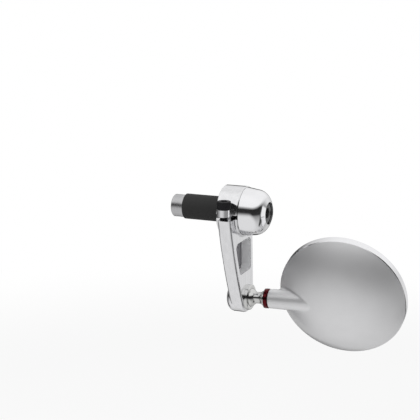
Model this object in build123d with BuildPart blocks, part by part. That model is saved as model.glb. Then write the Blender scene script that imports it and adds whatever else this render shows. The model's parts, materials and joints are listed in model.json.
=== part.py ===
from build123d import *
import os
from math import acos, cos, degrees, radians, sin, sqrt

os.makedirs("parts", exist_ok=True)

# A bar end mirror for the left grip, in millimetres and degrees.
# +X runs outboard along the handlebar, -Y faces the road ahead and +Z is up.
# The origin is on the bar's axis, where the plug seats on the end of the tube.

# Fits
turn_gap = 0.05  # radial, a shaft in the hole it turns in
thread_gap = 0.05  # radial, a screw or screwed ring in its hole
face_gap = 0.15  # flat faces that turn past each other
ball_gap = 0.15  # ball in its seat and ring
edge_break = 0.4  # small chamfers on turned edges
fillet_share = 0.75  # most of a wall that a fillet takes up

# Clamp ring
ring_radius = 15.5
ring_width = 14.0
spigot_radius = 11.0

# Plug in the bar's end
cap_step = 0.5  # the plug's dome starts this much smaller than the ring
cap_cone_length = 7.0
cap_cone_drop = 1.0
cap_nose_length = 7.7
cap_lip_width = 3.0  # conical lip round the recess
cap_lip_setback = 1.4
recess_gap = 0.4
recess_depth = 1.2  # screw's head below the plug's face

# Screw through the plug
plug_screw_radius = 4.0
plug_screw_length = 55.0
plug_head_radius = 6.5
plug_head_height = 8.0
plug_hex = 6.0
plug_hex_depth = 4.0
plug_washer_thickness = 1.5

# Expander in the bar's bore
expander_radius = 7.9
pilot_height = 0.5  # boss on the plug that leads into the bore
thrust_thickness = 2.0
sleeve_grip = 6.0  # length of the nut's cone that the sleeve covers
sleeve_gap = 0.4  # radial, round the screw
cone_length = 8.0
cone_tip_radius = 5.0
nut_radius = 7.0
nut_length = 6.0
nut_thread_spare = 1.2  # end of the screw past the nut

# Split and ears of the clamp ring
split_height = -0.9
split_width = 2.4
ear_radius = 4.3
ear_stand = 3.8  # screw's axis in front of the ring
ear_height = 4.3

# Clamp screw
clamp_screw_radius = 2.5
clamp_screw_length = 10.0
clamp_hole_spare = 0.5
clamp_head_radius = 4.25
clamp_head_height = 5.0
clamp_hex = 4.0
clamp_hex_depth = 2.6

# Arm
arm_thickness = 8.6
arm_shift = 1.05  # outboard of the ring's middle
arm_edge_radius = 1.8
ring_fillet = 1.0  # hollow between the ring and the arm's outboard face
nose_stand = 4.7  # centre of the front nose, in front of the ring
nose_radius = 3.0
front_bow_radius = 260.0
foot_back = 8.0
foot_drop = 57.2
foot_wall = 1.7
foot_depth = 12.2
foot_round = 4.5

# Pocket in the arm's outboard face
pocket_wall = 4.6
pocket_depth = 6.6
pocket_ring_land = 2.9
pocket_foot_land = 8.0
pocket_corner_radius = 3.0

# Ball joint
ball_radius = 6.0
ball_proud = 0.5  # centre of the ball, outboard of the arm's face
socket_radius = 8.0
socket_wall = 1.0
socket_lip = 1.8  # how far the ring reaches past the ball's centre
socket_ledge = 0.3  # where the ring's lip starts, past the ball's centre
socket_depth = 9.1
seat_setback = 1.4  # rim of the seat, inboard of the ball's centre
spring_thickness = 0.6
spring_height = 2.0
spring_outer_radius = 6.6
spring_inner_radius = 3.6

# Stud and lock ring
neck_radius = 3.6
neck_end = 7.0  # from the ball's centre
flare_length = 3.9
collar_radius = 6.1
collar_thickness = 0.4
shank_radius = 3.0
shank_length = 14.6
lock_ring_radius = 6.2
lock_ring_thickness = 2.6

# Mirror head
stem_rise = 2.5  # slope of the stem against the bar
head_roll = 16.4  # the back leans down, so that the glass looks up
stem_free = 18.9  # ball's centre to the mirror's rim
stem_root_radius = 6.0
stem_end_radius = 6.8
stem_lift = 0.2  # stem's side above the dome's edge
stem_burial = 6.0  # the stem ends this far from the mirror's axis
stem_fillet = 2.0
bezel_radius = 40.0
bezel_wall = 1.55
bezel_lip = 0.8
bezel_overlap = 1.4
seam_step = 0.3  # the dome's edge is this much smaller than the band
dome_height = 16.0
dome_wall = 2.6
skirt_height = 2.2
skirt_wall = 2.2
pad_thickness = 0.6
glass_thickness = 1.8
glass_edge_gap = 0.1
glass_seat_gap = 0.1
glass_curve_radius = 1200.0

# Places along the bar
ring_start = face_gap
ring_end = ring_start + ring_width
ring_mid = ring_start + ring_width / 2
spigot_length = ring_end + face_gap
cap_radius = ring_radius - cap_step
cone_end = spigot_length + cap_cone_length
cap_end = cone_end + cap_nose_length
recess_radius = plug_head_radius + recess_gap
plug_bore = plug_screw_radius + thread_gap
head_seat = cap_end - recess_depth - plug_head_height
recess_floor = head_seat - plug_washer_thickness
thrust_end = -pilot_height - thrust_thickness
nut_end = head_seat - plug_screw_length + nut_thread_spare
cone_base = nut_end + nut_length
cone_tip = cone_base + cone_length
sleeve_end = cone_tip - sleeve_grip

# Places of the arm
arm_mid = ring_mid + arm_shift
arm_inboard = arm_mid - arm_thickness / 2
arm_outboard = arm_mid + arm_thickness / 2
ring_ledge = ring_end - edge_break - arm_outboard
split_top = split_height + split_width / 2
split_bottom = split_height - split_width / 2
ear_reach = ring_radius + ear_stand
ear_top = split_top + ear_height
foot_radius = socket_radius + foot_wall
pocket_top = -ring_radius - pocket_ring_land
pocket_bottom = -foot_drop + foot_radius + pocket_foot_land

# The arm's bowed front, seen along the bar: an arc tangent to the nose and to the foot
nose_center = Vector(-ring_radius - nose_stand, 0)
foot_center = Vector(foot_back, -foot_drop)
front_chord = nose_center - foot_center
bow_to_foot = front_bow_radius - foot_radius
bow_to_nose = front_bow_radius - nose_radius
bow_side = bow_to_foot**2 + front_chord.length**2 - bow_to_nose**2
bow_turn = degrees(acos(bow_side / (2 * bow_to_foot * front_chord.length)))
bow_center = foot_center + front_chord.rotate(Axis.Z, -bow_turn).normalized() * bow_to_foot
front_start = bow_center + (nose_center - bow_center).normalized() * front_bow_radius
front_end = bow_center + (foot_center - bow_center).normalized() * front_bow_radius

# Places of the ball joint, along the socket's axis from the ball's centre
ball_center = Vector(arm_outboard + ball_proud, foot_back, -foot_drop)
socket_bore = socket_radius - socket_wall
socket_floor = -ball_proud - socket_depth
seat_base = socket_floor + spring_height + face_gap
cavity_radius = ball_radius + ball_gap

# Places of the stud, along the stem's axis from the ball's centre
flare_end = neck_end + flare_length
collar_end = flare_end + collar_thickness
lock_ring_end = collar_end + lock_ring_thickness
stem_start = lock_ring_end + face_gap
shank_end = collar_end + shank_length
head_reach = bezel_radius + stem_free
stem_end = head_reach - stem_burial

# Heights in the mirror head, from the dome's edge towards the dome
bezel_inner = bezel_radius - bezel_wall
dome_radius = bezel_radius - seam_step
dome_sphere = (dome_radius**2 + dome_height**2) / (2 * dome_height)
dome_center = dome_height - dome_sphere
skirt_radius = bezel_inner - thread_gap
cavity_edge = skirt_radius - skirt_wall
cavity_sphere = dome_sphere - dome_wall
cavity_spring = dome_center + sqrt(cavity_sphere**2 - cavity_edge**2)
glass_radius = bezel_inner - glass_edge_gap
glass_top = -skirt_height - pad_thickness
glass_rim = glass_top - glass_thickness
glass_front = glass_rim - glass_curve_radius + sqrt(glass_curve_radius**2 - glass_radius**2)
lip_seat = glass_rim - glass_seat_gap
bezel_bottom = lip_seat - bezel_lip

# The stem runs along stem_direction and the mirror's back faces back_direction
stem_direction = Vector(cos(radians(stem_rise)), 0, sin(radians(stem_rise)))
back_direction = Vector(
    sin(radians(head_roll)) * sin(radians(stem_rise)),
    -cos(radians(head_roll)),
    -sin(radians(head_roll)) * cos(radians(stem_rise)),
)
stem_offset = stem_end_radius + stem_lift
head_center = ball_center + stem_direction * head_reach - back_direction * stem_offset

# Section planes and axes of the turned pieces
section_normal = stem_direction.cross(back_direction)
stem_section = Plane(origin=ball_center, x_dir=stem_direction, z_dir=section_normal)
stem_axis = Axis(ball_center, stem_direction)
head_section = Plane(origin=head_center, x_dir=-stem_direction, z_dir=-section_normal)
head_axis = Axis(head_center, back_direction)
head_plane = Plane(origin=head_center, z_dir=back_direction)
dome_middle = head_center + back_direction * dome_center
glass_middle = head_center + back_direction * (glass_front + glass_curve_radius)
socket_section = Plane(origin=ball_center, x_dir=(1, 0, 0), z_dir=(0, -1, 0))
socket_axis = Axis(ball_center, (1, 0, 0))


def turned_ring(section, axis, start, end, inner, outer, edge):
    """A plain ring turned about an axis, with its outer edges broken."""
    with BuildPart() as ring:
        with BuildSketch(section):
            with BuildLine():
                Polyline(
                    (start, inner),
                    (end, inner),
                    (end, outer - edge),
                    (end - edge, outer),
                    (start + edge, outer),
                    (start, outer - edge),
                    close=True,
                )
            make_face()
        revolve(axis=axis)
    return ring.part


def cap_screw(seat, shank, length, head, height, hex_size, hex_depth):
    """A socket cap screw on its seat plane, whose z points out of the head."""
    along = Axis(seat.origin, seat.z_dir)
    with BuildPart() as screw:
        with BuildSketch(seat):
            Circle(head)
        extrude(amount=height)
        chamfer(screw.faces().sort_by(along)[-1].edges(), head / 10)
        with BuildSketch(seat.offset(height)):
            RegularPolygon(hex_size / 2, 6, major_radius=False)
        extrude(amount=-hex_depth, mode=Mode.SUBTRACT)
        with BuildSketch(seat):
            Circle(shank)
        extrude(amount=-length)
        chamfer(screw.faces().sort_by(along)[0].edges(), shank / 5)
    return screw.part


def arm_outline():
    """The arm's outline seen along the bar: ring, front nose and foot in one hull, with a bowed front."""
    with BuildSketch() as outline:
        Circle(ring_radius - edge_break)
        with Locations(nose_center):
            Circle(nose_radius)
        with Locations(foot_center):
            Circle(foot_radius)
        make_hull()
        with BuildLine():
            front_arc = RadiusArc(front_start, front_end, -front_bow_radius)
            Polyline(front_arc @ 1, foot_center, nose_center, front_arc @ 0)
        make_face()
    return outline.sketch


def arm_plate():
    """The flat of the arm, with its edges rounded."""
    with BuildPart() as plate:
        with BuildSketch(Plane.YZ.offset(arm_inboard)):
            add(arm_outline())
        extrude(amount=arm_thickness)
        fillet(plate.faces().filter_by(Axis.X).edges(), arm_edge_radius)
    return plate.part


# Plug: spigot, tapered dome and the recess for the screw's head
with BuildPart() as bar_end_cap:
    with BuildSketch(Plane.XZ):
        with BuildLine():
            spigot_line = Polyline(
                (recess_floor, plug_bore),
                (-pilot_height, plug_bore),
                (-pilot_height, expander_radius),
                (0, expander_radius),
                (0, spigot_radius),
                (spigot_length, spigot_radius),
                (spigot_length, cap_radius),
                (cone_end, cap_radius - cap_cone_drop),
            )
            nose_end = (cap_end - cap_lip_setback, recess_radius + cap_lip_width)
            nose_arc = TangentArc(spigot_line @ 1, nose_end, tangent=spigot_line % 1)
            Polyline(
                nose_arc @ 1,
                (cap_end, recess_radius),
                (recess_floor, recess_radius),
                (recess_floor, plug_bore),
            )
        make_face()
    revolve(axis=Axis.X)
bar_end_cap.part.label = "bar_end_cap"
export_step(bar_end_cap.part, "parts/bar_end_cap.step")

# Washer under the head of the plug's screw
bar_end_washer = turned_ring(
    Plane.XZ, Axis.X, recess_floor, head_seat, plug_bore, plug_head_radius, edge_break / 2
)
bar_end_washer.label = "bar_end_washer"
export_step(bar_end_washer, "parts/bar_end_washer.step")

# Screw that draws the expander's nut towards the plug
bar_end_screw = cap_screw(
    Plane.YZ.offset(head_seat),
    plug_screw_radius,
    plug_screw_length,
    plug_head_radius,
    plug_head_height,
    plug_hex,
    plug_hex_depth,
)
bar_end_screw.label = "bar_end_screw"
export_step(bar_end_screw, "parts/bar_end_screw.step")

# Thrust washer between the plug and the rubber sleeve
with BuildPart() as expander_washer:
    with BuildSketch(Plane.YZ.offset(thrust_end)):
        Circle(expander_radius)
        Circle(plug_bore, mode=Mode.SUBTRACT)
    extrude(amount=thrust_thickness)
expander_washer.part.label = "expander_washer"
export_step(expander_washer.part, "parts/expander_washer.step")

# Rubber sleeve, flared inside where the nut's cone spreads it
with BuildPart() as expander_sleeve:
    with BuildSketch(Plane.XZ):
        with BuildLine():
            cone_slope = (nut_radius - cone_tip_radius) / cone_length
            sleeve_mouth = cone_tip_radius + cone_slope * sleeve_grip
            Polyline(
                (thrust_end, plug_screw_radius + sleeve_gap),
                (thrust_end, expander_radius),
                (sleeve_end, expander_radius),
                (sleeve_end, sleeve_mouth + thread_gap),
                (cone_tip, cone_tip_radius + thread_gap),
                (cone_tip, plug_screw_radius + sleeve_gap),
                close=True,
            )
        make_face()
    revolve(axis=Axis.X)
expander_sleeve.part.label = "expander_sleeve"
export_step(expander_sleeve.part, "parts/expander_sleeve.step")

# Tapered nut at the inner end
with BuildPart() as expander_nut:
    with BuildSketch(Plane.XZ):
        with BuildLine():
            Polyline(
                (cone_tip, plug_bore),
                (cone_tip, cone_tip_radius),
                (cone_base, nut_radius),
                (nut_end + edge_break, nut_radius),
                (nut_end, nut_radius - edge_break),
                (nut_end, plug_bore),
                close=True,
            )
        make_face()
    revolve(axis=Axis.X)
expander_nut.part.label = "expander_nut"
export_step(expander_nut.part, "parts/expander_nut.step")

# Clamp ring, ears, pocketed arm and ball socket, machined from one billet
with BuildPart() as clamp_arm:
    # The foot stands out inboard of the plate as a rounded boss
    with BuildSketch(Plane.YZ.offset(arm_outboard - arm_edge_radius)):
        with Locations(foot_center):
            Circle(foot_radius)
    extrude(amount=arm_edge_radius - foot_depth)
    fillet(clamp_arm.faces().sort_by(Axis.X)[0].edges(), foot_round)
    add(arm_plate())
    # The upper ear is a boss on the ring, so the plate stops below the split
    with BuildSketch(Plane.XY.offset(split_bottom)):
        with Locations((arm_mid, -ear_reach)):
            Rectangle(2 * arm_thickness, 2 * ear_reach)
    extrude(amount=2 * ring_radius, mode=Mode.SUBTRACT)
    add(turned_ring(Plane.XZ, Axis.X, ring_start, ring_end, spigot_radius, ring_radius, edge_break))
    ring_seam = clamp_arm.edges().filter_by(GeomType.CIRCLE).filter_by_position(
        Axis.X, arm_outboard - turn_gap, arm_outboard + turn_gap
    )
    fillet(
        ring_seam.filter_by(lambda edge: abs(edge.radius - ring_radius) < turn_gap),
        min(ring_fillet, fillet_share * ring_ledge),
    )
    with BuildSketch(Plane.XY.offset(split_top)):
        with Locations((ring_mid, -ear_reach)):
            Circle(ear_radius)
        with Locations((ring_mid, -ear_reach / 2)):
            Rectangle(2 * ear_radius, ear_reach)
    extrude(amount=ear_height)
    # Bore, split and the clamp screw's hole
    with BuildSketch(Plane.YZ.offset(ring_start)):
        Circle(spigot_radius + turn_gap)
    extrude(amount=ring_width, mode=Mode.SUBTRACT)
    with BuildSketch(Plane.XY.offset(split_bottom)):
        with Locations((ring_mid, -ear_reach)):
            Rectangle(2 * ring_width, 2 * ear_reach)
    extrude(amount=split_width, mode=Mode.SUBTRACT)
    with BuildSketch(Plane.XY.offset(ear_top)):
        with Locations((ring_mid, -ear_reach)):
            Circle(clamp_screw_radius + thread_gap)
    extrude(amount=-clamp_screw_length - clamp_hole_spare, mode=Mode.SUBTRACT)
    # Blind pocket between the front and rear legs
    with BuildSketch(Plane.YZ.offset(arm_outboard)) as pocket:
        add(arm_outline())
        offset(amount=-pocket_wall, mode=Mode.REPLACE)
        with Locations((0, (pocket_top + pocket_bottom) / 2)):
            Rectangle(4 * ring_radius, pocket_top - pocket_bottom, mode=Mode.INTERSECT)
        fillet(pocket.vertices(), pocket_corner_radius)
    extrude(amount=-pocket_depth, mode=Mode.SUBTRACT)
    # Bore for the ball's seat and ring
    with BuildSketch(Plane.YZ.offset(arm_outboard)):
        with Locations(foot_center):
            Circle(socket_radius + thread_gap)
    extrude(amount=-socket_depth, mode=Mode.SUBTRACT)
clamp_arm.part.label = "clamp_arm"
export_step(clamp_arm.part, "parts/clamp_arm.step")

# Screw that closes the clamp ring
clamp_screw = cap_screw(
    Plane(origin=(ring_mid, -ear_reach, ear_top), x_dir=(1, 0, 0), z_dir=(0, 0, 1)),
    clamp_screw_radius,
    clamp_screw_length,
    clamp_head_radius,
    clamp_head_height,
    clamp_hex,
    clamp_hex_depth,
)
clamp_screw.label = "clamp_screw"
export_step(clamp_screw, "parts/clamp_screw.step")

# Disc spring at the bottom of the socket
with BuildPart() as seat_spring:
    with BuildSketch(socket_section):
        with BuildLine():
            Polyline(
                (socket_floor, spring_outer_radius),
                (socket_floor + spring_thickness, spring_outer_radius),
                (socket_floor + spring_height, spring_inner_radius),
                (socket_floor + spring_height - spring_thickness, spring_inner_radius),
                close=True,
            )
        make_face()
    revolve(axis=socket_axis)
seat_spring.part.label = "seat_spring"
export_step(seat_spring.part, "parts/seat_spring.step")

# Cup that the spring presses on the ball
with BuildPart() as ball_seat:
    with BuildSketch(socket_section):
        with BuildLine():
            seat_line = Polyline(
                (-cavity_radius, 0),
                (seat_base, 0),
                (seat_base, socket_bore - turn_gap),
                (-seat_setback, socket_bore - turn_gap),
                (-seat_setback, sqrt(cavity_radius**2 - seat_setback**2)),
            )
            RadiusArc(seat_line @ 1, seat_line @ 0, -cavity_radius)
        make_face()
    revolve(axis=socket_axis)
ball_seat.part.label = "ball_seat"
export_step(ball_seat.part, "parts/ball_seat.step")

# Screwed ring that keeps the ball in the socket
with BuildPart() as socket_ring:
    with BuildSketch(socket_section):
        with BuildLine():
            ring_line = Polyline(
                (socket_lip, sqrt(cavity_radius**2 - socket_lip**2)),
                (socket_lip, socket_radius - edge_break),
                (socket_lip - edge_break, socket_radius),
                (seat_base, socket_radius),
                (seat_base, socket_bore),
                (socket_ledge, socket_bore),
                (socket_ledge, sqrt(cavity_radius**2 - socket_ledge**2)),
            )
            RadiusArc(ring_line @ 1, ring_line @ 0, cavity_radius)
        make_face()
    revolve(axis=socket_axis)
socket_ring.part.label = "socket_ring"
export_step(socket_ring.part, "parts/socket_ring.step")

# Ball, neck, flared collar and the shank that goes into the stem
with BuildPart() as ball_stud:
    with BuildSketch(stem_section):
        with BuildLine():
            neck_start = (sqrt(ball_radius**2 - neck_radius**2), neck_radius)
            ball_arc = ThreePointArc((-ball_radius, 0), (0, ball_radius), neck_start)
            neck_line = Line(ball_arc @ 1, (neck_end, neck_radius))
            flare_arc = TangentArc(neck_line @ 1, (flare_end, collar_radius), tangent=neck_line % 1)
            Polyline(
                flare_arc @ 1,
                (collar_end, collar_radius),
                (collar_end, shank_radius),
                (shank_end, shank_radius),
                (shank_end, 0),
                (-ball_radius, 0),
            )
        make_face()
    revolve(axis=stem_axis)
ball_stud.part.label = "ball_stud"
export_step(ball_stud.part, "parts/ball_stud.step")

# Coloured ring between the stud's collar and the stem
lock_ring = turned_ring(
    stem_section,
    stem_axis,
    collar_end,
    lock_ring_end,
    shank_radius + thread_gap,
    lock_ring_radius,
    edge_break,
)
lock_ring.label = "lock_ring"
export_step(lock_ring, "parts/lock_ring.step")

# Domed back with its stem
with BuildPart() as mirror_shell:
    with Locations(Plane(origin=dome_middle, x_dir=-back_direction, z_dir=stem_direction)):
        Sphere(dome_sphere)
    split(bisect_by=head_plane, keep=Keep.TOP)
    with BuildSketch(head_plane):
        Circle(skirt_radius)
    extrude(amount=-skirt_height)
    # Hollow behind the glass
    with BuildSketch(head_section):
        with BuildLine():
            skirt_line = Polyline(
                (0, -skirt_height),
                (cavity_edge, -skirt_height),
                (cavity_edge, cavity_spring),
            )
            cavity_arc = RadiusArc(skirt_line @ 1, (0, dome_height - dome_wall), -cavity_sphere)
            Line(cavity_arc @ 1, skirt_line @ 0)
        make_face()
    revolve(axis=head_axis, mode=Mode.SUBTRACT)
    # Stem
    with BuildSketch(stem_section):
        with BuildLine():
            Polyline(
                (stem_start, 0),
                (stem_start, stem_root_radius - edge_break),
                (stem_start + edge_break, stem_root_radius),
                (stem_end, stem_end_radius),
                (stem_end, 0),
                close=True,
            )
        make_face()
    revolve(axis=stem_axis)
    # A rounded blend where the stem meets the outside of the dome
    stem_seam = mirror_shell.edges().filter_by(GeomType.BSPLINE)
    fillet(
        stem_seam.filter_by(lambda edge: abs((edge @ 0.5 - dome_middle).length - dome_sphere) < edge_break),
        stem_fillet,
    )
    with BuildSketch(stem_section):
        with BuildLine():
            Polyline(
                (stem_start, 0),
                (stem_start, shank_radius + turn_gap),
                (shank_end + face_gap, shank_radius + turn_gap),
                (shank_end + face_gap, 0),
                close=True,
            )
        make_face()
    revolve(axis=stem_axis, mode=Mode.SUBTRACT)
mirror_shell.part.label = "mirror_shell"
export_step(mirror_shell.part, "parts/mirror_shell.step")

# Backing pad behind the glass
with BuildPart() as glass_pad:
    with BuildSketch(head_plane.offset(glass_top)):
        Circle(glass_radius)
    extrude(amount=pad_thickness)
glass_pad.part.label = "glass_pad"
export_step(glass_pad.part, "parts/glass_pad.step")

# Slightly convex mirror glass
with BuildPart() as mirror_glass:
    with BuildSketch(head_plane.offset(glass_top)):
        Circle(glass_radius)
    extrude(amount=glass_front - glass_top - glass_thickness)
    with Locations(Plane(origin=glass_middle, x_dir=back_direction, z_dir=stem_direction)):
        Sphere(glass_curve_radius, mode=Mode.INTERSECT)
mirror_glass.part.label = "mirror_glass"
export_step(mirror_glass.part, "parts/mirror_glass.step")

# Polished band that holds the glass on the dome
with BuildPart() as glass_bezel:
    with BuildSketch(head_section):
        with BuildLine():
            Polyline(
                (bezel_inner, 0),
                (bezel_radius - edge_break, 0),
                (bezel_radius, -edge_break),
                (bezel_radius, bezel_bottom + edge_break),
                (bezel_radius - edge_break, bezel_bottom),
                (bezel_inner - bezel_overlap, bezel_bottom),
                (bezel_inner - bezel_overlap, lip_seat),
                (bezel_inner, lip_seat),
                close=True,
            )
        make_face()
    revolve(axis=head_axis)
glass_bezel.part.label = "glass_bezel"
export_step(glass_bezel.part, "parts/glass_bezel.step")
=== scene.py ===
import json
import math

import bpy
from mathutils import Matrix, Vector

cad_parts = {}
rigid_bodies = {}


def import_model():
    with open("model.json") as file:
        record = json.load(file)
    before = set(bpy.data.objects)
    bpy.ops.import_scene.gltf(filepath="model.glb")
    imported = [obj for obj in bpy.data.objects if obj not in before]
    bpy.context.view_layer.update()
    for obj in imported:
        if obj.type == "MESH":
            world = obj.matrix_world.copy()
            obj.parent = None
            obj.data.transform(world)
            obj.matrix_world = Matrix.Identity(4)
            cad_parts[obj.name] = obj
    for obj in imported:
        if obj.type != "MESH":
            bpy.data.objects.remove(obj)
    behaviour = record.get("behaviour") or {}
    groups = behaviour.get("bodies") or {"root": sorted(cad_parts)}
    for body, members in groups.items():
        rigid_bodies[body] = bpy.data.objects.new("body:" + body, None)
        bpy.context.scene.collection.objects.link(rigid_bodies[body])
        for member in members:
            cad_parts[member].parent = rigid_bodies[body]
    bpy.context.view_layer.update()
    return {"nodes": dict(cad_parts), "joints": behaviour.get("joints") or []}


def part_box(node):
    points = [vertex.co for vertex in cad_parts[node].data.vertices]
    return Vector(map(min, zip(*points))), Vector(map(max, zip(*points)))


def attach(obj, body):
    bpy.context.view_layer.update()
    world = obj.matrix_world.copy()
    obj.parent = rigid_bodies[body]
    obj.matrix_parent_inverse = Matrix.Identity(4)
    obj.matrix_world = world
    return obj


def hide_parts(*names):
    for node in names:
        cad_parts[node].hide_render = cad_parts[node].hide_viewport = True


for leftover in list(bpy.data.objects):
    bpy.data.objects.remove(leftover)
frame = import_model()
nodes = frame["nodes"]
scene = bpy.context.scene

# Lengths are in metres, in the frame of the CAD model: +X outboard along the bar, -Y ahead, +Z up.
# Angles are in degrees and colours are linear.
MM = 0.001
UP = (0, 0, 1)
OUTBOARD = (1, 0, 0)
WHITE = (1, 1, 1, 1)

# Camera, fitted to the photo
IMAGE_SIZE = 420
CAMERA_AZIMUTH = 22.5
CAMERA_ELEVATION = 12.5
CAMERA_DISTANCE = 0.684
FOCAL_PIXELS = 1106.5
SENSOR_WIDTH = 36.0
ORIGIN_PIXEL = (225.2, 209.4)

# Metals
ALUMINIUM = (0.92, 0.92, 0.935)
SATIN = (0.90, 0.90, 0.91)
STEEL = (0.56, 0.56, 0.57)
CHROME = (0.68, 0.68, 0.67)
RED = (0.11, 0.012, 0.016)
BRUSH_STRETCH = (1.0, 1.0, 0.08)
GRAIN_DETAIL = 3.0
GRAIN_BUMP = 0.15
GRAIN_SPREAD = 0.25  # the grain changes the roughness by this share either way
SHELL_COAT = 0.8
SHELL_COAT_ROUGHNESS = 0.06

# Milled surfaces in the arm's pocket; the floor's dark colour is painted shade
MILL_WALL = (0.92, 0.92, 0.93)
PAINTED_FLOOR_SHADE = (0.42, 0.42, 0.435)
MILL_STRETCH = (1.0, 1.0, 0.15)
MILL_SCALE = 500.0
MILL_SHADE = 0.95
MILL_SPREAD = 0.08

# Coated and soft surfaces
MOTTLE_DETAIL = 4.0
MOTTLE_BUMP = 0.4
MOTTLE_SPREAD = 0.15

# Mirror
MIRROR_DARK = (0.86, 0.89, 0.89)
MIRROR_LIGHT = (0.9, 0.92, 0.92)
MIRROR_ROUGHNESS = (0.008, 0.02)
HAZE_SCALE = 60.0

# Nearly all of a noise value lies between these
NOISE_BAND = (0.25, 0.75)

# Two inputs and the output of a mix node, by the kind of data that it mixes
MIX_SOCKETS = {"FLOAT": (2, 3, 0), "RGBA": (6, 7, 2)}

# Planes round the arm's pocket: the normal that points out of it, and the distance from the origin
POCKET_SIDES = (
    ((0, 0, 1), -18.1 * MM),  # top
    ((0, 0, -1), 39.8 * MM),  # bottom
    ((0, 1, 0), 13.3 * MM),  # rear
    ((0, -1, -0.373), 20 * MM),  # front, which slants
)
POCKET_WALLS = POCKET_SIDES + (((1, 0, 0), 12.2 * MM), ((-1, 0, 0), -6.2 * MM))
# The floor's planes: where the pocket's floor gets a dark colour as painted shade
POCKET_FLOOR_SHADE_PLANES = POCKET_SIDES + (((1, 0, 0), 6.2 * MM), ((-1, 0, 0), -5.6 * MM))

# Screws: radius and height of the head, width and depth of the hexagon, radius of the shank, pitch
# of the thread and length of the plain shank under the head
CLAMP_SCREW = {
    "head": 4.25 * MM,
    "height": 5 * MM,
    "hex": 4 * MM,
    "socket": 2.6 * MM,
    "shank": 2.5 * MM,
    "pitch": 0.8 * MM,
    "plain": 1 * MM,
}
PLUG_SCREW = {
    "head": 6.5 * MM,
    "height": 8 * MM,
    "hex": 6 * MM,
    "socket": 4 * MM,
    "shank": 4 * MM,
    "pitch": 1.25 * MM,
    "plain": 35 * MM,
}
KNURL_DEPTH = 0.12 * MM
KNURL_TEETH = 36
THREAD_ROWS = 8  # rows of points for each turn of a thread
SCREW_SIDES = 144
SHARP_ANGLE = 32  # a screw's faces that meet at a wider angle have a sharp edge

# Floor
FLOOR_Z = -0.20
FLOOR_RADIUS = 0.62
FLOOR_FADE = (FLOOR_RADIUS / 2, FLOOR_RADIUS)
FLOOR_GLOW = (0.8, 1.0)  # share of plain white, under the object and at the floor's edge
FLOOR_SIDES = 96
FLOOR_COLOUR = (0.72, 0.72, 0.72, 1)
FLOOR_ROUGHNESS = 0.9

# Brightness of the world for diffuse light, and of what reflections see by elevation
DIFFUSE_LEVEL = 0.55
STUDIO_LEVELS = (
    (-90, 0.66),
    (-60, 0.66),
    (-38, 0.56),
    (-12, 0.30),
    (-3, 0.03),
    (22, 0.02),
    (29, 0.40),
    (36, 0.96),
    (90, 1.0),
)

# Cards and tall flags round the set, each laid over those before it: direction, angles where it is
# full and gone, brightness
STUDIO_CARDS = (
    ("card", (-0.30, 0.93, 0.10), (45, 80), 0.55),
    ("card", (0.20, 0.62, 0.76), (8, 66), 0.95),
    ("card", (-0.18, -0.66, -0.73), (28, 56), 0.78),
    ("flag", (-0.374, 0.902, 0), (8, 17), 0.05),
    ("flag", (-0.84, 0.25, 0), (8, 18), 0.10),
    ("flag", (0.86, 0.10, 0), (9, 20), 0.05),
    ("card", (0.93, 0.30, -0.12), (14, 22), 0.92),
    ("card", (0.374, 0.902, -0.216), (12, 22), 0.76),
)

# Elevations where a flag is full and gone, at its top and at its foot
FLAG_ENDS = ((8, 20), (-42, -60))

# Softboxes: azimuth, elevation, distance, size and power
SOFTBOXES = {
    "key_softbox": (-20, 55, 1.2, 0.8, 10.0),
    "fill_softbox": (75, 25, 1.3, 0.9, 5.0),
}


def direction(azimuth, elevation):
    """Unit vector from the object towards a camera or lamp at these angles."""
    turn, rise = math.radians(azimuth), math.radians(elevation)
    return Vector(
        (math.sin(turn) * math.cos(rise), -math.cos(turn) * math.cos(rise), math.sin(rise))
    )


def add_object(name, data):
    """Adds an object to the scene."""
    item = bpy.data.objects.new(name, data)
    scene.collection.objects.link(item)
    return item


def aim(item, towards, distance):
    """Places a camera or lamp this far out in a direction, facing the origin."""
    item.location = distance * towards
    item.rotation_euler = towards.to_track_quat("Z", "Y").to_euler()


# Nodes


def feed(tree, socket, value):
    """Links a socket to another one, or sets it to a plain number, vector or colour."""
    if isinstance(value, bpy.types.NodeSocket):
        tree.links.new(value, socket)
    else:
        socket.default_value = value


def add_node(tree, kind, **values):
    """Adds a node and sets its properties, and its inputs by name."""
    node = tree.nodes.new(kind)
    for key, value in values.items():
        if key in node.inputs:
            feed(tree, node.inputs[key], value)
        else:
            setattr(node, key, value)
    return node


def vector_math(tree, operation, *values):
    """An operation on vectors."""
    node = add_node(tree, "ShaderNodeVectorMath", operation=operation)
    for socket, value in zip(node.inputs, values):
        feed(tree, socket, value)
    return node.outputs["Value" if operation in ("DOT_PRODUCT", "LENGTH") else "Vector"]


def number_math(tree, operation, first, second):
    """An operation on two numbers."""
    node = add_node(tree, "ShaderNodeMath", operation=operation)
    feed(tree, node.inputs[0], first)
    feed(tree, node.inputs[1], second)
    return node.outputs["Value"]


def map_range(tree, value, start, end=(0.0, 1.0), step="LINEAR"):
    """Maps a number from one range to another."""
    node = add_node(tree, "ShaderNodeMapRange", Value=value, interpolation_type=step)
    for name, number in zip(("From Min", "From Max", "To Min", "To Max"), (*start, *end)):
        node.inputs[name].default_value = number
    return node.outputs["Result"]


def mixed(tree, share, below, above, kind="FLOAT"):
    """Mixes two numbers or two colours by a share from 0 to 1."""
    node = add_node(tree, "ShaderNodeMix", data_type=kind)
    first, second, result = MIX_SOCKETS[kind]
    feed(tree, node.inputs[0], share)
    feed(tree, node.inputs[first], below)
    feed(tree, node.inputs[second], above)
    return node.outputs[result]


# Coordinates


def part_coordinates(tree):
    """A point's place in the frame of the CAD model."""
    return add_node(tree, "ShaderNodeTexCoord").outputs["Object"]


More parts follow.
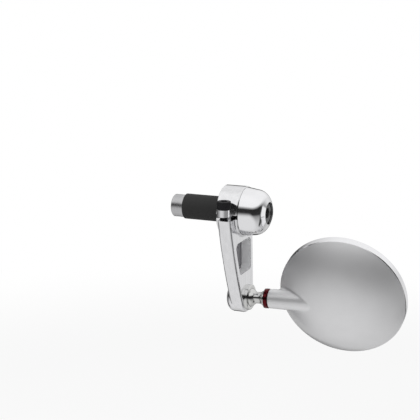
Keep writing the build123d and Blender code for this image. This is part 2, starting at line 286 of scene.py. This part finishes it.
def turned_coordinates(tree, origin, axis):
    """Coordinates that are the same all round an axis: distance along it and from it."""
    place = vector_math(tree, "SUBTRACT", part_coordinates(tree), origin)
    along = vector_math(tree, "DOT_PRODUCT", place, axis)
    radius = vector_math(tree, "LENGTH", vector_math(tree, "CROSS_PRODUCT", place, axis))
    return add_node(tree, "ShaderNodeCombineXYZ", X=along, Y=radius).outputs["Vector"]


def stretched_coordinates(tree, stretch):
    """Part coordinates scaled by a vector, for a grain that runs one way."""
    return vector_math(tree, "MULTIPLY", part_coordinates(tree), stretch)


def turned_on_bar(tree):
    """Coordinates of a piece that is turned about the bar's axis."""
    return turned_coordinates(tree, (0, 0, 0), OUTBOARD)


def turned_on_stem(tree):
    """Coordinates of a piece that is turned about the stem's axis."""
    stem = next(joint for joint in frame["joints"] if joint["name"] == "head_turn")
    return turned_coordinates(tree, tuple(stem["pos_m"]), tuple(stem["axis"]))


def brushed_down(tree):
    """Coordinates of a surface that is brushed up and down."""
    return stretched_coordinates(tree, BRUSH_STRETCH)


# Materials


def new_material(name):
    """A material with a principled shader; returns it with its node tree and shader."""
    material = bpy.data.materials.new(name)
    material.use_nodes = True
    return material, material.node_tree, shader_of(material)


def shader_of(material):
    """The principled shader of a material."""
    return material.node_tree.nodes["Principled BSDF"]


def noise(tree, coordinates, scale, detail=2.0):
    """A noise value at these coordinates."""
    node = add_node(tree, "ShaderNodeTexNoise", Vector=coordinates, Scale=scale, Detail=detail)
    return node.outputs["Fac"]


def tint(tree, value, dark, light):
    """Mixes two colours by a noise value."""
    return mixed(tree, value, (*dark, 1), (*light, 1), "RGBA")


def shaded(colour, share):
    """A colour at this share of its brightness."""
    return tuple(share * c for c in colour)


def varied(tree, value, middle, spread):
    """A number that a noise value moves by a share either way."""
    return map_range(tree, value, NOISE_BAND, ((1 - spread) * middle, (1 + spread) * middle))


def bump(tree, shader, height, strength, distance):
    """Raises the surface by a height value."""
    node = add_node(tree, "ShaderNodeBump", Height=height, Strength=strength, Distance=distance)
    feed(tree, shader.inputs["Normal"], node.outputs["Normal"])


def polished_metal(
    name, colour, rough, grain, grain_scale, grain_height, cloud_scale=90.0, shade=0.94
):
    """Polished metal with a faint grain left by machining; grain makes the coordinates."""
    material, tree, shader = new_material(name)
    cloud = noise(tree, grain(tree), cloud_scale)
    streak = noise(tree, grain(tree), grain_scale, GRAIN_DETAIL)
    shader.inputs["Metallic"].default_value = 1.0
    feed(tree, shader.inputs["Base Color"], tint(tree, cloud, shaded(colour, shade), colour))
    feed(tree, shader.inputs["Roughness"], varied(tree, streak, rough, GRAIN_SPREAD))
    bump(tree, shader, streak, GRAIN_BUMP, grain_height)
    return material


def dull_surface(name, dark, light, rough, scale, height, specular=0.5):
    """A non-metal or coated surface with a fine mottle and bump."""
    material, tree, shader = new_material(name)
    mottle = noise(tree, part_coordinates(tree), scale, MOTTLE_DETAIL)
    shader.inputs["Specular IOR Level"].default_value = specular
    feed(tree, shader.inputs["Base Color"], tint(tree, mottle, dark, light))
    feed(tree, shader.inputs["Roughness"], varied(tree, mottle, rough, MOTTLE_SPREAD))
    bump(tree, shader, mottle, MOTTLE_BUMP, height)
    return material


def mirror_surface(name):
    """Silvered glass: a clear mirror with the faintest tint."""
    material, tree, shader = new_material(name)
    haze = noise(tree, part_coordinates(tree), HAZE_SCALE)
    shader.inputs["Metallic"].default_value = 1.0
    feed(tree, shader.inputs["Base Color"], tint(tree, haze, MIRROR_DARK, MIRROR_LIGHT))
    feed(tree, shader.inputs["Roughness"], map_range(tree, haze, NOISE_BAND, MIRROR_ROUGHNESS))
    return material


def within(tree, planes):
    """1 on the inner side of every plane and 0 elsewhere."""
    share = 1.0
    for normal, distance in planes:
        height = vector_math(tree, "DOT_PRODUCT", part_coordinates(tree), normal)
        inside = number_math(tree, "LESS_THAN", height, distance)
        share = number_math(tree, "MULTIPLY", share, inside)
    return share


def lay_over(tree, share, socket, layer):
    """Lays a number or colour over what feeds a socket, where share is 1."""
    below = socket.links[0].from_socket if socket.is_linked else socket.default_value
    kind = "RGBA" if socket.type == "RGBA" else "FLOAT"
    feed(tree, socket, mixed(tree, share, below, layer, kind))


def milled_finish_and_painted_shade(material, planes, colour, rough, metallic):
    """Gives the surfaces of a metal within these planes the duller finish that a mill leaves; where
    the colour is dark, as on the pocket's floor, it is painted shade.
    """
    tree, shader = material.node_tree, shader_of(material)
    share = within(tree, planes)
    marks = noise(tree, stretched_coordinates(tree, MILL_STRETCH), MILL_SCALE)
    layers = {
        "Base Color": tint(tree, marks, shaded(colour, MILL_SHADE), colour),
        "Roughness": varied(tree, marks, rough, MILL_SPREAD),
        "Metallic": metallic,
    }
    for name, layer in layers.items():
        lay_over(tree, share, shader.inputs[name], layer)


cap_metal = polished_metal(
    "turned_aluminium",
    ALUMINIUM,
    rough=0.09,
    grain=turned_on_bar,
    grain_scale=2600.0,
    grain_height=2e-6,
)
arm_metal = polished_metal(
    "machined_aluminium",
    ALUMINIUM,
    rough=0.13,
    grain=brushed_down,
    grain_scale=1100.0,
    grain_height=4e-6,
    cloud_scale=600.0,
    shade=0.80,
)
milled_finish_and_painted_shade(arm_metal, POCKET_WALLS, MILL_WALL, rough=0.5, metallic=0.15)
# The pocket's floor gets a dark colour that paints the shade in the recess.
milled_finish_and_painted_shade(arm_metal, POCKET_FLOOR_SHADE_PLANES, PAINTED_FLOOR_SHADE, rough=0.4, metallic=1.0)
band_metal = polished_metal(
    "band_aluminium",
    ALUMINIUM,
    rough=0.10,
    grain=part_coordinates,
    grain_scale=1800.0,
    grain_height=1e-6,
)
shell_metal = polished_metal(
    "satin_shell",
    SATIN,
    rough=0.55,
    grain=part_coordinates,
    grain_scale=3200.0,
    grain_height=2e-6,
)
shader_of(shell_metal).inputs["Coat Weight"].default_value = SHELL_COAT
shader_of(shell_metal).inputs["Coat Roughness"].default_value = SHELL_COAT_ROUGHNESS
stud_metal = polished_metal(
    "polished_stud",
    CHROME,
    rough=0.06,
    grain=turned_on_stem,
    grain_scale=2600.0,
    grain_height=1e-6,
)
ring_metal = polished_metal(
    "red_anodised",
    RED,
    rough=0.22,
    grain=turned_on_stem,
    grain_scale=2600.0,
    grain_height=3e-6,
)
plain_steel = polished_metal(
    "plain_steel",
    STEEL,
    rough=0.32,
    grain=turned_on_bar,
    grain_scale=2200.0,
    grain_height=4e-6,
)
screw_black = dull_surface(
    "black_oxide",
    dark=(0.006, 0.006, 0.007),
    light=(0.016, 0.016, 0.017),
    rough=0.42,
    scale=3000.0,
    height=8e-6,
    specular=0.12,
)
plug_black = dull_surface(
    "black_oxide_rubbed",
    dark=(0.02, 0.02, 0.02),
    light=(0.05, 0.05, 0.05),
    rough=0.38,
    scale=3000.0,
    height=8e-6,
    specular=0.6,
)
rubber = dull_surface(
    "sleeve_rubber",
    dark=(0.012, 0.012, 0.012),
    light=(0.03, 0.03, 0.03),
    rough=0.7,
    scale=1800.0,
    height=2e-5,
    specular=0.3,
)
pad_foam = dull_surface(
    "pad_foam",
    dark=(0.02, 0.02, 0.02),
    light=(0.05, 0.05, 0.05),
    rough=0.9,
    scale=2500.0,
    height=4e-5,
    specular=0.2,
)
acetal = dull_surface(
    "seat_acetal",
    dark=(0.74, 0.73, 0.68),
    light=(0.82, 0.81, 0.77),
    rough=0.4,
    scale=1200.0,
    height=5e-6,
)
mirror_silver = mirror_surface("silvered_glass")

finishes = {
    "bar_end_cap": cap_metal,
    "bar_end_screw": plug_black,
    "bar_end_washer": plain_steel,
    "expander_washer": plain_steel,
    "expander_sleeve": rubber,
    "expander_nut": plain_steel,
    "clamp_arm": arm_metal,
    "clamp_screw": screw_black,
    "socket_ring": stud_metal,
    "seat_spring": plain_steel,
    "ball_seat": acetal,
    "ball_stud": stud_metal,
    "lock_ring": ring_metal,
    "mirror_shell": shell_metal,
    "glass_pad": pad_foam,
    "mirror_glass": mirror_silver,
    "glass_bezel": band_metal,
}
for name, material in finishes.items():
    nodes[name].data.materials.clear()
    nodes[name].data.materials.append(material)


# Screws, with the knurl and thread that the plain solids leave out


def saw(turns):
    """A wave from 0 to 1 and back in one turn."""
    return 1 - abs(2 * (turns % 1.0) - 1)


def hexagon(across):
    """Radius of a hexagon of this width, as a function of the angle."""
    sixth = math.pi / 3
    return lambda angle: across / 2 / math.cos((angle + sixth / 2) % sixth - sixth / 2)


def round_of(radius):
    """The same radius at every angle."""
    return lambda angle: radius


def knurled(radius):
    """Radius of a straight knurl."""
    return lambda angle: radius - KNURL_DEPTH * saw(KNURL_TEETH * angle / math.tau)


def threaded(radius, depth, pitch, drop):
    """Radius of a thread this far down the shank."""
    return lambda angle: radius - depth * saw(drop / pitch - angle / math.tau)


def screw_rows(sizes, length):
    """Rows of points, as a radius and a height, from the socket over the head to the tip."""
    head, height = sizes["head"], sizes["height"]
    shank, pitch = sizes["shank"], sizes["pitch"]
    across, floor = sizes["hex"], sizes["height"] - sizes["socket"]
    edge = head / 10  # the head's edges round off over this length
    bevel = edge / 3
    lead_in = edge / 2  # the socket's mouth is this much wider
    knurl_end = 1.3 * edge  # the knurl stops this far from the head's top and seat
    cone_depth = across / 6  # the cone that a drill leaves under the socket
    thread_depth = 0.6 * pitch
    tip = 0.02  # share of a width at which the two ends are closed
    rows = [
        (round_of(tip * across), floor - cone_depth),
        (hexagon(across), floor),
        (hexagon(across), height - bevel),
        (hexagon(across + lead_in), height),
        (round_of(head - edge), height),
        (round_of(head - bevel), height - bevel),
        (round_of(head), height - edge),
        (knurled(head), height - knurl_end),
        (knurled(head), knurl_end),
        (round_of(head), edge),
        (round_of(head - bevel), 0.0),
        (round_of(shank), 0.0),
    ]
    start = sizes["plain"]
    steps = math.ceil((length - start) / pitch * THREAD_ROWS)
    for k in range(steps + 1):
        drop = start + (length - start) * k / steps
        cut = thread_depth * min(1.0, (length - drop) / pitch)
        rows.append((threaded(shank - thread_depth + cut, cut, pitch, drop), -drop))
    rows.append((round_of(tip * shank), -length))
    return rows


def socket_screw(name, body, seat, axis, length, sizes, finish):
    """A socket cap screw on a body, from the seat of its head along an axis."""
    rows = screw_rows(sizes, length)
    turn = Vector(UP).rotation_difference(Vector(axis))
    points = []
    for radius_at, rise in rows:
        for k in range(SCREW_SIDES):
            angle = math.tau * k / SCREW_SIDES
            radius = radius_at(angle)
            place = Vector((radius * math.cos(angle), radius * math.sin(angle), rise))
            points.append(seat + turn @ place)
    last = (len(rows) - 1) * SCREW_SIDES
    faces = []
    for here in range(0, last, SCREW_SIDES):
        below = here + SCREW_SIDES
        for k in range(SCREW_SIDES):
            after = (k + 1) % SCREW_SIDES
            faces.append((here + k, below + k, below + after, here + after))
    faces.append(tuple(range(SCREW_SIDES)))
    faces.append(tuple(last + k for k in reversed(range(SCREW_SIDES))))
    mesh = bpy.data.meshes.new(name)
    mesh.from_pydata(points, [], faces)
    mesh.polygons.foreach_set("use_smooth", [True] * len(mesh.polygons))
    mesh.set_sharp_from_angle(angle=math.radians(SHARP_ANGLE))
    mesh.materials.append(finish)
    screw = add_object(name, mesh)
    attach(screw, body)
    return screw


low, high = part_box("clamp_screw")
clamp_seat = Vector(
    ((low[0] + high[0]) / 2, (low[1] + high[1]) / 2, high[2] - CLAMP_SCREW["height"])
)
clamp_length = clamp_seat.z - low[2]
clamp_piece = socket_screw(
    "clamp_screw_detail", "arm", clamp_seat, UP, clamp_length, CLAMP_SCREW, screw_black
)
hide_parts("clamp_screw")

low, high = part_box("bar_end_screw")
plug_seat = Vector((high[0] - PLUG_SCREW["height"], 0, 0))
plug_length = plug_seat.x - low[0]
plug_piece = socket_screw(
    "bar_end_screw_detail", "bar_plug", plug_seat, OUTBOARD, plug_length, PLUG_SCREW, plug_black
)
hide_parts("bar_end_screw")


# Studio


def floor_material():
    """Pale floor: near white to the camera, white at its edge, with the object's shadow kept."""
    material, tree, shader = new_material("floor")
    shader.inputs["Base Color"].default_value = FLOOR_COLOUR
    shader.inputs["Roughness"].default_value = FLOOR_ROUGHNESS
    glow = add_node(tree, "ShaderNodeEmission", Color=WHITE, Strength=1.0)
    outward = vector_math(tree, "LENGTH", part_coordinates(tree))
    fade = map_range(tree, outward, FLOOR_FADE, FLOOR_GLOW, "SMOOTHSTEP")
    path = add_node(tree, "ShaderNodeLightPath")
    share = number_math(tree, "MULTIPLY", path.outputs["Is Camera Ray"], fade)
    surface = add_node(tree, "ShaderNodeMixShader", Fac=share)
    feed(tree, surface.inputs[1], shader.outputs["BSDF"])
    feed(tree, surface.inputs[2], glow.outputs["Emission"])
    output = tree.nodes["Material Output"]
    feed(tree, output.inputs["Surface"], surface.outputs["Shader"])
    return material


def round_floor():
    """A round floor, which reflections leave out because the studio has its own."""
    turns = [math.tau * k / FLOOR_SIDES for k in range(FLOOR_SIDES)]
    points = [(FLOOR_RADIUS * math.cos(t), FLOOR_RADIUS * math.sin(t), 0) for t in turns]
    mesh = bpy.data.meshes.new("floor")
    mesh.from_pydata(points, [], [range(FLOOR_SIDES)])
    mesh.materials.append(floor_material())
    floor = add_object("floor", mesh)
    floor.location.z = FLOOR_Z
    floor.visible_glossy = False


def facing(tree, ray, towards, angles):
    """1 where a ray points within an angle of a direction, falling to 0 at a wider angle."""
    full, gone = (math.cos(math.radians(angle)) for angle in angles)
    dot = vector_math(tree, "DOT_PRODUCT", ray, Vector(towards).normalized())
    return map_range(tree, dot, (gone, full), step="SMOOTHSTEP")


def flag_height(tree, rise):
    """1 between the top and the foot of a flag, by the height that a ray points to."""
    ends = []
    for angles in FLAG_ENDS:
        full, gone = (math.sin(math.radians(angle)) for angle in angles)
        ends.append(map_range(tree, rise, (gone, full), step="SMOOTHSTEP"))
    return number_math(tree, "MULTIPLY", *ends)


def studio_brightness(tree):
    """What polished metal sees: bright ceiling and floor, dark horizon, cards and flags."""
    ray = add_node(tree, "ShaderNodeTexCoord").outputs["Generated"]
    rise = add_node(tree, "ShaderNodeSeparateXYZ", Vector=ray).outputs["Z"]
    levels = add_node(tree, "ShaderNodeValToRGB", Fac=map_range(tree, rise, (-1.0, 1.0)))
    stops = levels.color_ramp.elements
    while len(stops) < len(STUDIO_LEVELS):
        stops.new(0.5)
    for stop, (elevation, brightness) in zip(stops, STUDIO_LEVELS):
        stop.position = (math.sin(math.radians(elevation)) + 1) / 2
        stop.color = (brightness, brightness, brightness, 1)
    level = levels.outputs["Color"]
    bearing = vector_math(tree, "NORMALIZE", vector_math(tree, "MULTIPLY", ray, (1, 1, 0)))
    height = flag_height(tree, rise)
    for kind, towards, angles, brightness in STUDIO_CARDS:
        if kind == "flag":
            share = number_math(tree, "MULTIPLY", facing(tree, bearing, towards, angles), height)
        else:
            share = facing(tree, ray, towards, angles)
        level = mixed(tree, share, level, brightness)
    return level


def studio_world():
    """White to the camera and through glass, the studio in reflections, an even light elsewhere."""
    world = bpy.data.worlds.new("studio")
    world.use_nodes = True
    tree = world.node_tree
    path = add_node(tree, "ShaderNodeLightPath").outputs
    plain = number_math(tree, "MAXIMUM", path["Is Camera Ray"], path["Is Transmission Ray"])
    light = mixed(tree, path["Is Glossy Ray"], DIFFUSE_LEVEL, studio_brightness(tree))
    backdrop = tree.nodes["Background"]
    backdrop.inputs["Color"].default_value = WHITE
    feed(tree, backdrop.inputs["Strength"], mixed(tree, plain, light, 1.0))
    return world


def softbox(name, azimuth, elevation, distance, size, power):
    """A square area lamp that faces the object and doesn't show in reflections."""
    lamp = bpy.data.lights.new(name, "AREA")
    lamp.size = size
    lamp.energy = power
    holder = add_object(name, lamp)
    holder.visible_glossy = False
    aim(holder, direction(azimuth, elevation), distance)


def photo_camera():
    """A camera where the photo's was, with the origin at the photo's pixel."""
    data = bpy.data.cameras.new("photo_camera")
    data.sensor_width = SENSOR_WIDTH
    data.lens = SENSOR_WIDTH * FOCAL_PIXELS / IMAGE_SIZE
    data.shift_x = (IMAGE_SIZE / 2 - ORIGIN_PIXEL[0]) / IMAGE_SIZE
    data.shift_y = (ORIGIN_PIXEL[1] - IMAGE_SIZE / 2) / IMAGE_SIZE
    camera = add_object("photo_camera", data)
    aim(camera, direction(CAMERA_AZIMUTH, CAMERA_ELEVATION), CAMERA_DISTANCE)
    return camera


round_floor()
for name, placing in SOFTBOXES.items():
    softbox(name, *placing)
scene.world = studio_world()
bpy.context.scene.camera = photo_camera()
bpy.context.scene.view_settings.view_transform = "Standard"
